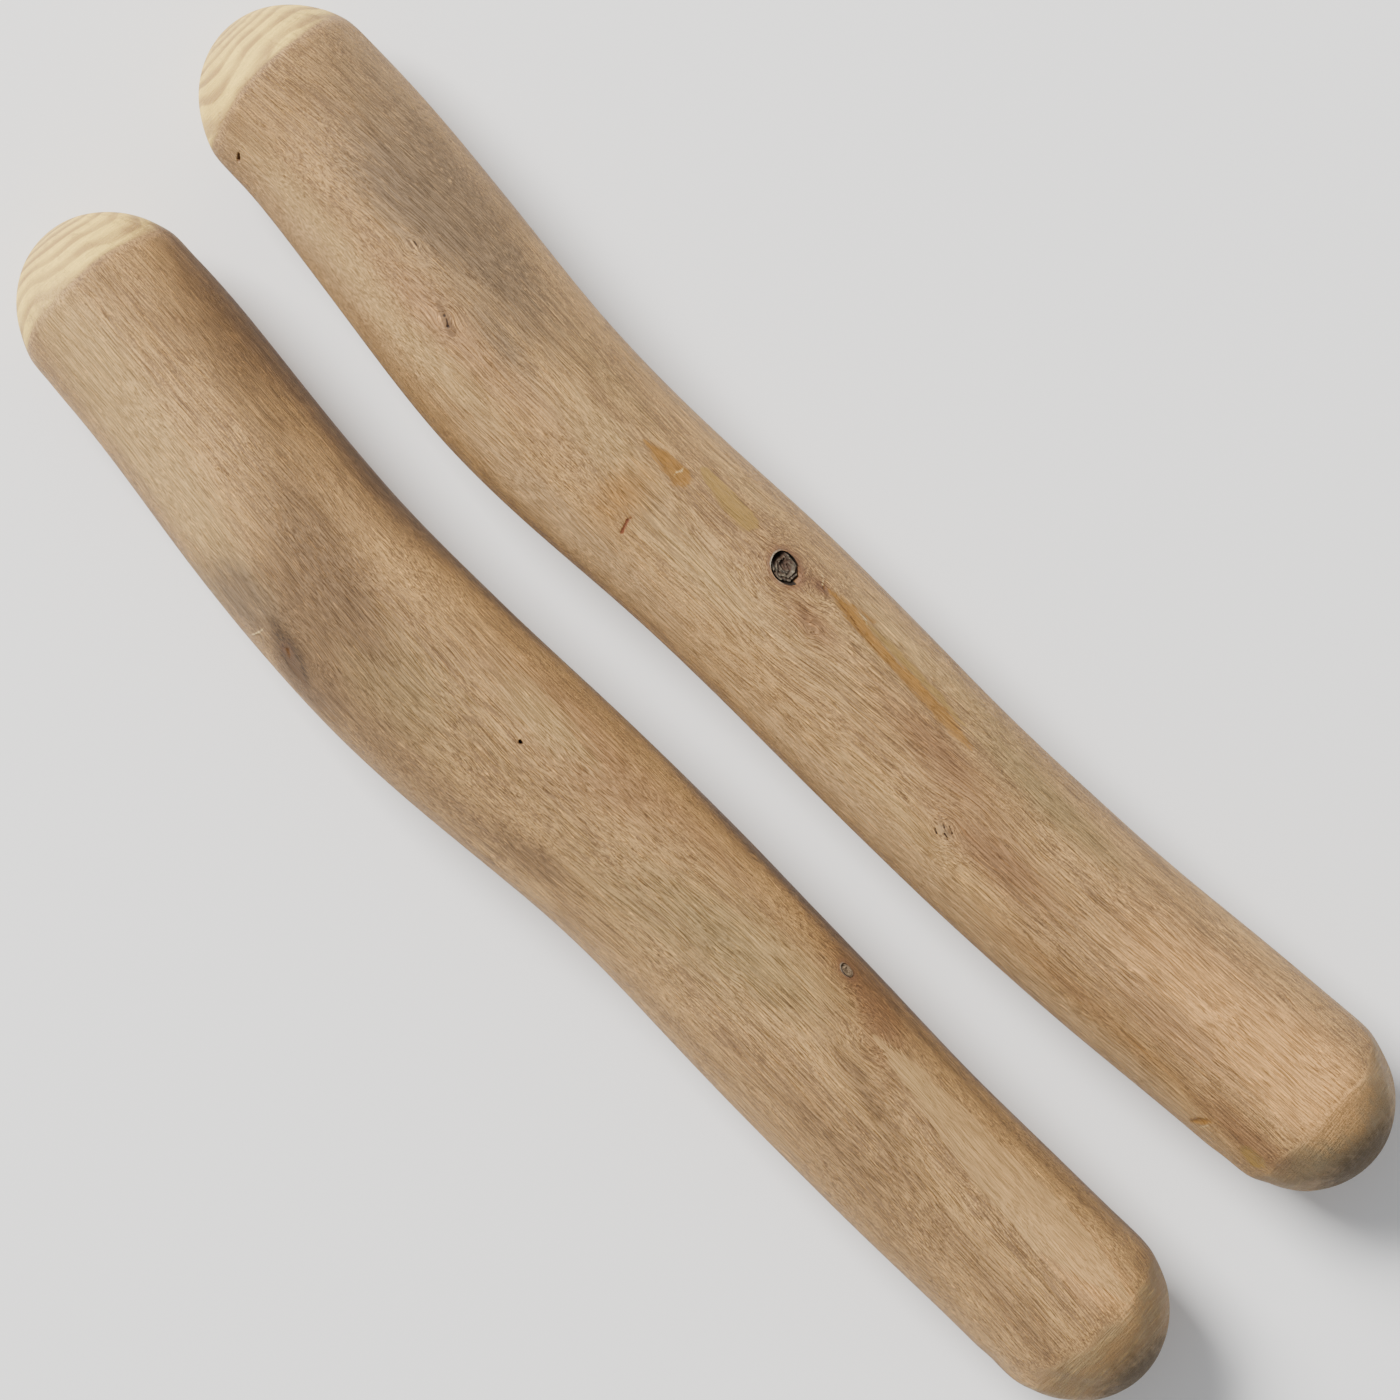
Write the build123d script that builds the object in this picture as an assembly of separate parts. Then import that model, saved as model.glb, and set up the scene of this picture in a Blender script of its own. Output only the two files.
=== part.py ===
"""A pair of hand-shaped wooden claves, lying side by side on a flat surface.

Each clave is a bent length of branch, an oval bar with a sanded dome at each end. A dead twig is still encased in
each one, in a hole of its own: a thick one in the held clave and a pin-sized one in the striker.

Millimetres. X runs along the pair, Y across it from the striker to the held clave, and Z up. The origin is the middle
of the pair's footprint, on the surface that it lies on.
"""

import math
import os

from build123d import *

# Driving dimensions
THICK_PER_WIDTH = 0.93  # the branch is a little flatter than round, and lies on its flatter side
DOME_LENGTH = 18.0  # from the dome's middle to the clave's tip
DOME_RADIUS = 15.7  # a little more than half the width, which leaves a soft shoulder where it meets the bar
SEAM_TURN = 37  # degrees, which keeps a round cutter's seam clear of the bar's seam
SPARE = 4.0  # how far a cutter runs past what it cuts
PROBE = 0.05  # radius of the needle that finds the wood's surface
BEYOND = 100.0  # further than any clave is thick

# The bar's middle line seen from above: x, y and width, evenly spaced so that the skin doesn't swing between them.
HELD_STATIONS = [
    (-125.0, 24.4, 30.0),
    (-100.0, 23.9, 30.4),
    (-75.0, 21.1, 31.7),
    (-50.0, 18.8, 31.6),
    (-25.0, 19.4, 30.4),
    (0.0, 20.5, 30.4),
    (25.0, 20.5, 30.1),
    (50.0, 20.8, 30.1),
    (75.0, 22.4, 30.1),
    (100.0, 24.8, 30.3),
    (125.0, 26.7, 30.4),
]
STRIKER_STATIONS = [
    (-122.2, -18.8, 30.2),
    (-100.0, -19.0, 30.5),
    (-75.0, -21.7, 31.2),
    (-50.0, -24.1, 32.4),
    (-25.0, -24.0, 32.7),
    (0.0, -22.4, 31.2),
    (25.0, -22.0, 30.6),
    (50.0, -22.5, 30.7),
    (75.0, -22.7, 30.2),
    (100.0, -22.3, 30.2),
    (123.4, -22.1, 30.2),
]

# Encased twigs. The lean is from the wood's surface normal, and the turn is from the clave's length.
DEAD_KNOT = dict(x=-4.3, y=26.7, radius=2.1, foot_radius=1.6, depth=11.0, lean=41, turn=-22, gap=0.3, sunk=0.5)
PIN_KNOT = dict(x=46.2, y=-10.1, radius=1.0, foot_radius=0.7, depth=6.0, lean=38, turn=-18, gap=0.12, sunk=0.1)


def centre(station):
    """The middle of the bar at a station. Its underside lies along z = 0."""
    x, y, width = station
    return Vector(x, y, width * THICK_PER_WIDTH / 2)


def directions(stations):
    """The bar's direction at each station, from the stations on either side of it."""
    points = [centre(station) for station in stations]
    before = [points[0]] + points[:-1]
    after = points[1:] + [points[-1]]
    return [(b - a).normalized() for a, b in zip(before, after)]


def section(station, along):
    """The oval cross-section of the bar at a station, square to its direction."""
    width = station[2]
    across = Vector(0, 0, 1).cross(along)
    plane = Plane(origin=centre(station), x_dir=across, z_dir=along)
    return plane * Ellipse(width / 2, width * THICK_PER_WIDTH / 2)


def end_waste(tip, outward):
    """What sanding takes off one end: everything outside an egg-shaped dome."""
    radius = DOME_RADIUS + SPARE
    length = DOME_LENGTH + SPARE
    blank = Pos(radius / 2, length / 2) * Rectangle(radius, length)
    waste = revolve(Plane.XZ * (blank - Ellipse(DOME_RADIUS, DOME_LENGTH)), Axis.Z)
    dome = Plane(origin=tip - outward * DOME_LENGTH, z_dir=outward)
    return dome.location * Rot(0, 0, SEAM_TURN) * waste


def bar(stations):
    """One clave in solid wood, with no knot hole."""
    along = directions(stations)
    shaft = loft([section(station, way) for station, way in zip(stations, along)])
    shaft -= end_waste(centre(stations[0]), -along[0])
    return shaft - end_waste(centre(stations[-1]), along[-1])


def twig(clave, knot):
    """The hole for an encased twig, and the twig in it."""
    needle = Pos(knot["x"], knot["y"], 0) * Cylinder(PROBE, BEYOND)
    skin = (clave & needle).faces().sort_by(Axis.Z)[-1]
    spot = skin.center()
    normal = skin.normal_at(spot)
    lengthwise = (Vector(1, 0, 0) - normal * normal.X).normalized()
    sideways = normal.cross(lengthwise)
    turn = math.radians(knot["turn"])
    lean = math.radians(knot["lean"])
    heading = lengthwise * math.cos(turn) + sideways * math.sin(turn)
    out = normal * math.cos(lean) + heading * math.sin(lean)

    length = knot["depth"] / math.cos(lean)
    foot = Plane(origin=spot - out * length, z_dir=out).location * Rot(0, 0, SEAM_TURN)
    flare = (knot["radius"] - knot["foot_radius"]) / length
    reach = length + SPARE

    def cone(widening):
        low = knot["foot_radius"] + widening
        return foot * Cone(low, low + flare * reach, reach, align=(Align.CENTER, Align.CENTER, Align.MIN))

    face = Plane(origin=spot - normal * knot["sunk"], z_dir=normal).location
    above_face = face * Box(BEYOND, BEYOND, BEYOND, align=(Align.CENTER, Align.CENTER, Align.MIN))
    return cone(knot["gap"]), cone(0) - above_face


def clave_with_twig(stations, knot):
    clave = bar(stations)
    hole, plug = twig(clave, knot)
    return clave - hole, plug


held_clave, dead_knot = clave_with_twig(HELD_STATIONS, DEAD_KNOT)
striker_clave, pin_knot = clave_with_twig(STRIKER_STATIONS, PIN_KNOT)

os.makedirs("parts", exist_ok=True)
for name, shape in {
    "held_clave": held_clave,
    "dead_knot": dead_knot,
    "striker_clave": striker_clave,
    "pin_knot": pin_knot,
}.items():
    export_step(shape, f"parts/{name}.step")
    print(name, round(shape.volume), shape.bounding_box())
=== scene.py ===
"""The looks of a pair of hand-shaped wooden claves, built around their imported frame.

The frame's X runs along the pair, Y across it from the striker to the held clave, and Z up. Lengths in the
frame are metres. Patterns in the wood are worked out in millimetres, which suits grain and pores better.
"""

import math

import bmesh
import bpy
import numpy as np
from bpy.props import FloatProperty, FloatVectorProperty, IntProperty, PointerProperty
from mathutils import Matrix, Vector, noise
from mathutils.bvhtree import BVHTree


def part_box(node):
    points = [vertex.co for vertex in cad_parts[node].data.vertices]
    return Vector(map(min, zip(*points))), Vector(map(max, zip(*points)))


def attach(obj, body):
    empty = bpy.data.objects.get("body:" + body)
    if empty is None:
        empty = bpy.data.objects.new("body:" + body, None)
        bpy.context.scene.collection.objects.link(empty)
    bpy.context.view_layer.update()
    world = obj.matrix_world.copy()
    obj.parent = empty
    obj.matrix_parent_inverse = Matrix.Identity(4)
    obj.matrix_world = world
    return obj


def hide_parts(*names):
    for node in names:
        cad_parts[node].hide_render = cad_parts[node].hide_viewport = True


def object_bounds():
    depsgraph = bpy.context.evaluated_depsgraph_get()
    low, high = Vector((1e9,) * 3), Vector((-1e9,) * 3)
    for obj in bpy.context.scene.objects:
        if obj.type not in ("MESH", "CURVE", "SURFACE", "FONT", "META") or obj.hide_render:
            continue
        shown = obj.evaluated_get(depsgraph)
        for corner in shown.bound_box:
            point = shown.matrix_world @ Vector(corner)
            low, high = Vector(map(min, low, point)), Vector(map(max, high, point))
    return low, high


bl_info = {
    "name": "Claves",
    "version": (1, 0, 0),
    "blender": (4, 5, 0),
    "location": "3D View > Sidebar > Claves",
    "description": "Builds a pair of hand-shaped wooden claves around a packed frame",
    "category": "Object",
}

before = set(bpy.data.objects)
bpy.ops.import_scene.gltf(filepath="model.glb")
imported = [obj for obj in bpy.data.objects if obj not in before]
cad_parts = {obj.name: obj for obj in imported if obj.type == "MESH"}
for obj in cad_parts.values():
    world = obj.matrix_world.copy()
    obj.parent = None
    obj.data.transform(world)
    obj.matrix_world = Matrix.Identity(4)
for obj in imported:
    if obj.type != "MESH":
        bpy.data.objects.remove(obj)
CAD_BOX = [list(corner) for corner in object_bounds()]

MM = 0.001
STATION_STEP = 5.0  # mm between the sections measured on the frame
CURVE_DEGREE = 12  # of the smooth curves through those sections
FAR = 1.0  # further away than any part of the claves, in metres

# Which way the fibres run, seen from above: x in mm and degrees from X, rising towards +Y.
HELD_FIBRE = [(-125, 4), (-95, 4), (-60, -1), (-30, 0), (0, 3), (35, 4), (75, 3), (125, 4)]
STRIKER_FIBRE = [(-125, -2), (-95, -3), (-60, -7), (-30, -2), (10, 5), (40, 3), (70, -5), (125, -3)]

# Knots that turn the fibres aside and lift the growth rings: x, y, radius turned aside, and lift, in mm.
HELD_KNOTS = [
    (-4.3, 26.7, 3.2, 1.3),
    (2.2, 28.4, 1.6, 0.9),
    (-68.2, 16.6, 1.4, 0.8),
    (-79.7, 21.0, 1.0, 0.4),
    (41.3, 15.4, 1.9, 0.9),
    (5.0, 23.0, 1.2, 1.4),
]
STRIKER_KNOTS = [
    (46.2, -10.1, 2.0, 1.2),
    (-47.5, -37.2, 3.4, 2.2),
    (-87.0, -9.5, 1.3, 0.6),
    (56.0, -14.5, 2.4, 0.9),
]

# Soft-edged zones of another colour: kind, x, y, half length, half width, turn in degrees, and strength.
HELD_ZONES = [
    ("tan", -126, 24, 4.5, 16, 0, 0.8),
    ("grey", -108, 36, 14, 6, 2, 0.4),
    ("grey", -84, 31, 22, 10, -3, 0.9),
    ("grey", -86, 24, 14, 5, 2, 0.4),
    ("grey", -60, 27, 14, 7, -3, 0.5),
    ("grey", -58, 20, 8, 2.5, -4, 0.4),
    ("pale", -84, 11, 24, 4, -4, 0.6),
    ("pale", -96, 13, 18, 4, 0, 0.6),
    ("blush", -70, 15, 14, 5, 0, 0.8),
    ("pale", -62, 11, 14, 4, 0, 0.6),
    ("blush", -46, 17, 14, 5, 4, 0.5),
    ("orange", -30, 17, 4.8, 7, 0, 0.8),
    ("olive", -46, 28, 18, 5, 0, 0.5),
    ("pale", -38, 21, 14, 6, 0, 0.7),
    ("pale", 34, 12, 22, 4, 0, 0.6),
    ("brown", -106, 28, 12, 7, 0, 0.45),
    ("pale", -14, 17, 14, 4.5, 3, 0.7),
    ("pale", -18, 31.5, 12, 2.5, 0, 0.5),
    ("rust", -4.3, 26.9, 5.2, 3.4, 0, 1.0),
    ("pink", 4, 23.4, 5.2, 2.8, 0, 0.9),
    ("rust", 2.0, 28.7, 2.2, 1.2, 0, 0.8),
    ("pale", 12, 20, 16, 4, 2, 0.4),
    ("pale", 14, 27.5, 14, 3, 2, 0.5),
    ("pale", 16, 32, 16, 3.2, 0, 0.8),
    ("pink", 30, 23.5, 16, 4, 3, 0.75),
    ("pink", 50, 18, 16, 4.5, 2, 0.8),
    ("grey", 41.3, 15.4, 2.2, 1.3, 0, 0.7),
    ("olive", 50, 30, 20, 3.5, 3, 0.8),
    ("pink", 72, 12, 22, 3.0, 4, 0.6),
    ("brown", 84, 11.4, 14, 1.6, 3, 0.6),
    ("orange", 88, 13.5, 10, 1.2, 3, 0.6),
    ("olive", 36, 33, 22, 4, 2, 0.5),
    ("blush", 88, 19, 18, 5, 4, 0.7),
    ("rosy", 84, 26, 18, 7, 4, 0.8),
    ("rosy", 108, 28, 12, 8, 4, 1.2),
    ("blush", 86, 32, 22, 4, 4, 0.5),
    ("pink", 108, 15, 12, 4, 4, 0.8),
    # Darker tip of the right dome: partly darker end grain, partly painted shade where the dome turns away
    # from the lamp.
    ("dark_end_and_shade", 127.2, 25, 6.0, 20, 0, 2.0),
    ("moss", 118, 25, 4.5, 14, 0, 1.0),
    ("ash", -92, 10, 34, 5, 0, 0.7),
    ("ash", -30, 7, 26, 5, 0, 1.0),
    ("ash", 30, 8, 30, 5, 0, 0.8),
    ("ash", 84, 9, 30, 5, 3, 1.0),
]
STRIKER_ZONES = [
    ("pale", -102, -26, 18, 7, -4, 1.0),
    ("pale", -76, -31, 18, 5, -7, 0.9),
    ("pale", -84, -33, 16, 4, -6, 0.5),
    ("grey", -60, -35.5, 9, 6.5, -6, 1.0),
    ("olive", -66, -38, 8, 6, -6, 0.6),
    ("brown", -49, -35.0, 7, 5.0, -14, 1.2),
    ("scar", -50.0, -36.2, 5.0, 2.2, -22, 1.2),
    ("scar", -46.5, -37.6, 4.0, 2.2, -22, 0.8),
    ("rust", -49.4, -36.6, 1.8, 1.4, -30, 1.0),
    ("tan", -124, -18, 4.5, 16, 0, 0.9),
    # The next seven zones are painted shade along the striker's +Y edge, which faces the held clave.
    ("edge_shade", -104, -4, 16, 7, 0, 0.6),
    ("edge_shade", -82, -5, 20, 9, -6, 0.8),
    ("brown", -84, -8, 14, 5, -6, 0.6),
    ("brown", -98, -6, 18, 6, -4, 0.6),
    ("edge_shade", -58, -8, 18, 8, -6, 0.9),
    ("edge_shade", -30, -8, 18, 5, 2, 0.7),
    ("brown", -86, -13, 20, 4, -5, 0.6),
    ("brown", -57, -29, 10, 4, -7, 0.6),
    # The next four zones are painted shade along the striker's +Y edge.
    ("edge_shade", 0, -6.5, 24, 3, 0, 0.5),
    ("edge_shade", 40, -7, 18, 5, 0, 1.0),
    ("edge_shade", 72, -7.5, 20, 4, 0, 0.8),
    ("edge_shade", 18, -7, 16, 4, 0, 0.7),
    ("brown", 30, -35, 24, 4, 3, 0.5),
    ("brown", 80, -35, 30, 4, 0, 0.45),
    ("brown", -34, -33, 16, 5, 3, 0.4),
    ("pale", 36, -16, 14, 4, 0, 0.6),
    ("pale", -14, -16, 13, 4.5, 0, 0.9),
    # Painted shade along the striker's +Y edge.
    ("edge_shade", 104, -7, 14, 4, 0, 0.8),
    ("brown", -62, -20, 13, 7, -7, 0.7),
    ("brown", -46, -25, 12, 5, -8, 0.9),
    ("brown", -45.0, -38.0, 5.0, 4.0, -14, 1.2),
    ("brown", -36, -38, 12, 5, 8, 0.6),
    ("olive", -36, -29, 18, 9, 4, 0.8),
    ("olive", 18, -27, 26, 8, 3, 0.5),
    ("brown", -10, -35, 16, 3.5, 4, 0.5),
    ("brown", -14, -26, 10, 2.6, -3, 0.4),
    ("blush", -10, -15, 18, 6, 0, 1.2),
    ("brown", 2, -31, 8, 3, 3, 0.7),
    ("olive", 34, -18, 18, 6, 5, 0.8),
    ("blush", 16, -11, 16, 3, 0, 0.5),
    ("pink", 48, -9, 15, 4.5, 0, 0.8),
    ("rust", 47, -10.5, 6, 2, -6, 0.35),
    ("pink", 56, -13, 9, 4, -30, 0.9),
    ("brown", 58, -9, 20, 1.8, 0, 0.7),
    ("brown", 62, -21.5, 14, 2.4, -12, 0.7),
    ("brown", 62, -30, 16, 4, -4, 0.5),
    ("orange", 54, -28, 10, 2, -4, 0.3),
    ("olive", 66, -14.4, 8, 2.6, -4, 0.6),
    ("rosy", 86, -15, 14, 4, -4, 0.5),
    ("brown", 84, -27, 22, 5, -3, 0.35),
    ("brown", 92, -9.5, 18, 1.6, 0, 0.6),
    ("rosy", 106, -16, 9, 4.5, 0, 0.9),
    # Darker tip of the right dome: partly darker end grain, partly painted shade where the dome turns away
    # from the lamp.
    ("dark_end_and_shade", 125.8, -24, 5.6, 20, 0, 1.9),
    ("brown", 108, -30, 10, 3, 0, 0.5),
]

# Sharp marks: kind, depth cut into the wood (a negative one stands proud), and a path of x, y and half width.
HELD_MARKS = [
    ("gum", 0.08, [(-33.4, 25.4, 0.3), (-30.0, 25.4, 1.1), (-27.4, 25.3, 1.4), (-25.9, 25.3, 1.8)]),
    ("torn", -0.10, [(-26.6, 27.3, 0.12), (-26.2, 26.0, 0.22), (-26.7, 25.2, 0.20), (-26.0, 23.8, 0.12)]),
    ("resin", 0.04, [(-23.5, 28.5, 0.9), (-18.0, 27.9, 1.6), (-13.6, 27.8, 1.7)]),
    (
        "gum",
        0.12,
        [(3.0, 29.2, 0.25), (5.0, 29.1, 0.7), (7.6, 28.9, 1.2), (10.0, 28.6, 1.1), (13.0, 28.3, 0.7)],
    ),
    (
        "gum",
        0.12,
        [(12.0, 28.3, 0.8), (18.0, 28.2, 0.85), (24.0, 28.1, 1.1), (29.5, 27.9, 1.1), (35.2, 27.5, 0.3)],
    ),
    ("torn", -0.06, [(-3.5, 30.6, 0.05), (-1.2, 30.5, 0.10), (0.9, 29.8, 0.13), (1.4, 28.9, 0.05)]),
    ("torn", -0.06, [(7.8, 30.2, 0.10), (9.4, 30.0, 0.16), (10.6, 29.6, 0.08)]),
    ("umber", 0.12, [(1.3, 29.1, 0.16), (2.0, 28.7, 0.22)]),
    ("brown", 0.06, [(2.4, 28.5, 0.30), (3.2, 28.0, 0.35)]),
    ("umber", 0.15, [(8.8, 28.1, 0.05), (14.0, 27.8, 0.14), (22.0, 27.5, 0.12), (30.0, 27.2, 0.05)]),
    ("umber", 0.10, [(4.0, 29.0, 0.08), (7.6, 28.7, 0.16), (10.2, 28.2, 0.10)]),
    ("umber", 0.06, [(-27.0, 23.9, 0.10), (-25.4, 23.8, 0.14)]),
    ("gum", 0.08, [(7.0, 30.1, 0.25), (11.0, 30.5, 0.35)]),
    ("resin", 0.04, [(10.0, 29.6, 0.2), (16.0, 29.7, 0.7), (26.0, 29.6, 0.7), (32.0, 29.1, 0.2)]),
    ("rust", 0.15, [(-26.5, 15.9, 0.14), (-26.7, 14.6, 0.28), (-26.3, 13.6, 0.28), (-26.0, 12.7, 0.34)]),
    ("umber", 0.50, [(-109.1, 12.1, 0.25), (-108.5, 11.4, 0.38)]),
    ("dark", 0.20, [(-69.4, 17.2, 0.16), (-68.6, 16.9, 0.30)]),
    ("dark", 0.25, [(-68.0, 16.8, 0.22), (-67.0, 16.1, 0.34)]),
    ("brown", 0.0, [(-70.6, 17.6, 0.5), (-66.0, 15.9, 0.8)]),
    ("dark", 0.10, [(-80.4, 21.7, 0.10), (-78.8, 21.5, 0.18)]),
    ("dark", 0.10, [(40.0, 16.2, 0.12), (40.9, 15.9, 0.16)]),
    ("dark", 0.10, [(41.3, 16.5, 0.12), (42.4, 16.0, 0.16)]),
    ("dark", 0.10, [(39.9, 14.7, 0.12), (40.7, 14.4, 0.14)]),
    ("dark", 0.10, [(41.6, 15.2, 0.14), (42.7, 14.8, 0.12)]),
    ("torn", -0.12, [(38.0, 29.1, 0.14), (38.1, 27.7, 0.14)]),
    ("torn", -0.06, [(38.6, 28.0, 0.06), (41.4, 28.2, 0.10)]),
    ("gum", 0.15, [(100.2, 10.7, 0.4), (101.2, 11.9, 0.8), (102.0, 12.8, 0.3)]),
    ("torn", -0.08, [(101.6, 10.6, 0.10), (102.4, 12.2, 0.22)]),
    ("resin", 0.15, [(109.6, 13.4, 1.4), (111.4, 13.2, 1.8)]),
    ("torn", -0.10, [(111.8, 15.3, 0.15), (113.6, 14.4, 0.34), (113.8, 12.8, 0.24)]),
    ("dark", 0.10, [(106.2, 11.6, 0.12), (107.8, 11.5, 0.25)]),
    ("torn", -0.05, [(77.6, 10.3, 0.12), (78.8, 10.0, 0.25)]),
]
STRIKER_MARKS = [
    ("dark", 0.15, [(-109.4, -27.4, 0.05), (-107.6, -27.6, 0.10), (-105.9, -27.7, 0.05)]),
    ("dark", 0.08, [(-88.9, -9.4, 0.12), (-87.8, -9.7, 0.22)]),
    ("dark", 0.08, [(-86.0, -9.4, 0.12), (-84.9, -9.6, 0.24)]),
    ("dark", 0.80, [(-14.2, -20.8, 0.36), (-14.0, -20.8, 0.34)]),
    ("brown", 0.12, [(-53.4, -35.0, 0.10), (-51.0, -35.5, 0.20), (-49.6, -36.2, 0.30)]),
    ("brown", 0.06, [(-50.0, -36.2, 0.6), (-47.5, -37.4, 1.4), (-43.5, -38.4, 0.5)]),
    ("umber", 0.15, [(-49.6, -36.4, 0.45), (-48.4, -37.2, 0.25)]),
    ("brown", 0.10, [(-46.6, -37.6, 0.10), (-43.4, -38.2, 0.18)]),
    ("torn", -0.16, [(-54.5, -36.3, 0.08), (-54.6, -37.6, 0.20), (-55.4, -39.0, 0.08)]),
    ("torn", -0.12, [(-54.6, -37.4, 0.12), (-54.0, -38.3, 0.05)]),
    ("sapwood", 0.0, [(56.0, -14.2, 0.2), (63.0, -14.3, 1.9), (72.0, -14.8, 3.0), (84.0, -15.6, 4.0)]),
    ("sapwood", 0.0, [(84.0, -15.6, 4.0), (96.0, -15.6, 4.4), (104.0, -15.4, 3.0), (112.0, -15.2, 0.5)]),
]

# Encased twigs, in mm. The lean is from the wood's surface normal, and the turn is from the stick's length,
# in degrees. The last five colour the twig: its bark, which also paints shade into its hole, cracks, wood and
# flecks, and how dark its hollows are, partly their own colour and partly painted shade.
DEAD_TWIG = {
    "x": -4.3,
    "y": 26.7,
    "radius": 2.1,
    "foot": 1.6,
    "depth": 11.0,
    "lean": 41,
    "turn": -22,
    "gap": 0.1,
    "sunk": 0.5,
    "rough": 0.22,
    "bark": (0.012, 0.007, 0.004),
    "crack": (0.026, 0.018, 0.011),
    "wood": (0.098, 0.076, 0.048),
    "fleck": (0.185, 0.155, 0.110),
    "hollow": 1.0,
}
PIN_TWIG = {
    "x": 46.2,
    "y": -10.1,
    "radius": 1.0,
    "foot": 0.7,
    "depth": 6.0,
    "lean": 38,
    "turn": -18,
    "gap": 0.06,
    "sunk": 0.05,
    "rough": 0.05,
    "bark": (0.045, 0.027, 0.015),
    "crack": (0.110, 0.074, 0.042),
    "wood": (0.245, 0.170, 0.096),
    "fleck": (0.400, 0.300, 0.175),
    "hollow": 0.25,
}
HOLE_WARP = 0.035  # how far the hole of a twig is from round
HOLE_WALL = 0.75  # where the wall of a hole ends and its floor starts, as a share of its mouth
RIM_SNAP = 0.05  # mm from the rim within which a point is moved onto it
HOLE_REACH = 3.0  # how far from its place a twig matters along its axis, as a share of its mouth
HOLE_SPREAD = 1.3  # and across its axis
TWIG_SIDES = 96
TWIG_RINGS = 22
TWIG_RINGS_SPAN = 0.97  # of a twig's radius, taken up by the rings of faces on its end
LIP = 31  # degrees round a twig to the middle of the bare pale lip of its hole
CRESCENT = 76  # degrees round a twig to where it has shrunk away from the wood the most
SWELL = 0.02  # how fast a dome's bowl opens once it is past its widest, per mm
PLUG_FILL = 0.95  # the bark round a twig has shrunk
SHARP = math.radians(50)  # faces that meet at more than this keep a hard edge
REFINE_REACHES = (1.0, 0.5, 0.2)  # mm round a mark where faces are halved again, the last at the twigs only
FIBRE_STEPS = 251  # places along a stick where the stray of a fibre is added up


class SticksShape(bpy.types.PropertyGroup):
    """Sizes of the sticks and how finely they are modelled."""

    dome_length: FloatProperty(
        name="Dome length",
        description="From a dome's middle to the tip",
        default=0.018,
        unit="LENGTH",
    )
    dome_radius: FloatProperty(
        name="Dome radius",
        description="Radius of the sanded dome at its middle",
        default=0.0157,
        unit="LENGTH",
    )
    left_shoulder: FloatProperty(
        name="Left shoulder softness",
        description="How far the edge between the bar and the left dome is rounded",
        default=0.0004,
        unit="LENGTH",
    )
    right_shoulder: FloatProperty(
        name="Right shoulder softness",
        description="How far the edge between the bar and the right dome is rounded",
        default=0.0006,
        unit="LENGTH",
    )
    unevenness: FloatProperty(
        name="Unevenness",
        description="Depth of the flats that the rasp and the hand left",
        default=0.00032,
        unit="LENGTH",
    )
    rasp: FloatProperty(
        name="Rasping",
        description="Depth of the facets left on the domes",
        default=0.0008,
        unit="LENGTH",
    )
    rings: IntProperty(
        name="Rings",
        description="Mesh rings from tip to tip",
        default=400,
    )
    sides: IntProperty(
        name="Sides",
        description="Mesh faces round the stick",
        default=150,
    )


class WoodLook(bpy.types.PropertyGroup):
    """Colours and grain of the sanded wood."""

    light: FloatVectorProperty(
        name="Light fibre",
        description="The palest long fibres",
        default=(0.525, 0.312, 0.116),
        subtype="COLOR",
    )
    deep: FloatVectorProperty(
        name="Deep fibre",
        description="The darkest long fibres",
        default=(0.200, 0.117, 0.056),
        subtype="COLOR",
    )
    cream: FloatVectorProperty(
        name="Fresh end grain",
        description="Sanded ends of the fibres",
        default=(0.98, 0.69, 0.15),
        subtype="COLOR",
    )
    # End grain of the right ends: partly duller olive wood, partly painted shade, as these ends face away
    # from the lamp.
    dull_and_shaded: FloatVectorProperty(
        name="Dull end grain",
        description="Handled ends of the fibres",
        default=(0.305, 0.218, 0.104),
        subtype="COLOR",
    )
    ring: FloatVectorProperty(
        name="Ring line",
        description="Late wood of each growth ring",
        default=(0.29, 0.165, 0.066),
        subtype="COLOR",
    )
    fresh_ring: FloatVectorProperty(
        name="Fresh ring line",
        description="Late wood on the sanded ends",
        default=(0.40, 0.245, 0.080),
        subtype="COLOR",
    )
    ring_spacing: FloatProperty(
        name="Ring spacing",
        description="Distance between growth rings",
        default=0.0018,
        unit="LENGTH",
    )
    relief: FloatProperty(
        name="Relief",
        description="Height of the fibres over the pores",
        default=0.00015,
        unit="LENGTH",
    )
    roughness: FloatProperty(
        name="Roughness",
        description="Roughness of the sanded surface",
        default=0.62,
        subtype="FACTOR",
    )


class StageLook(bpy.types.PropertyGroup):
    """The floor, the lights and the camera."""

    floor: FloatVectorProperty(
        name="Floor",
        description="Colour of the plain floor",
        default=(0.90, 0.90, 0.90),
        subtype="COLOR",
    )
    floor_size: FloatProperty(
        name="Floor size",
        description="Side of the floor",
        default=6.0,
        unit="LENGTH",
    )
    lamp_power: FloatProperty(
        name="Lamp power",
        description="Power of the large soft lamp",
        default=222.0,
        unit="POWER",
    )
    lamp_size: FloatProperty(
        name="Lamp size",
        description="Side of the large soft lamp",
        default=1.3,
        unit="LENGTH",
    )
    lamp_distance: FloatProperty(
        name="Lamp distance",
        description="From the claves to the lamp",
        default=3.0,
        unit="LENGTH",
    )
    sky: FloatProperty(
        name="Sky",
        description="Strength of the even light all round",
        default=0.5,
    )
    camera_height: FloatProperty(
        name="Camera height",
        description="From the sticks' widest level up to the camera",
        default=1.0,
        unit="LENGTH",
    )
    picture_width: FloatProperty(
        name="Picture width",
        description="What the camera takes in at that level",
        default=0.21705,
        unit="LENGTH",
    )
    picture_turn: FloatProperty(
        name="Picture turn",
        description="The camera's turn about its own line of sight",
        default=math.radians(45.1),
        subtype="ANGLE",
    )


LAMP_WAY = Vector((-0.74, -0.04, 0.67))  # from the claves towards the soft lamp
CAMERA_AIM = (0.64, 3.13)  # mm, the middle of the camera's view on the claves
SENSOR = 36.0  # mm


# Measuring the frame


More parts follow.
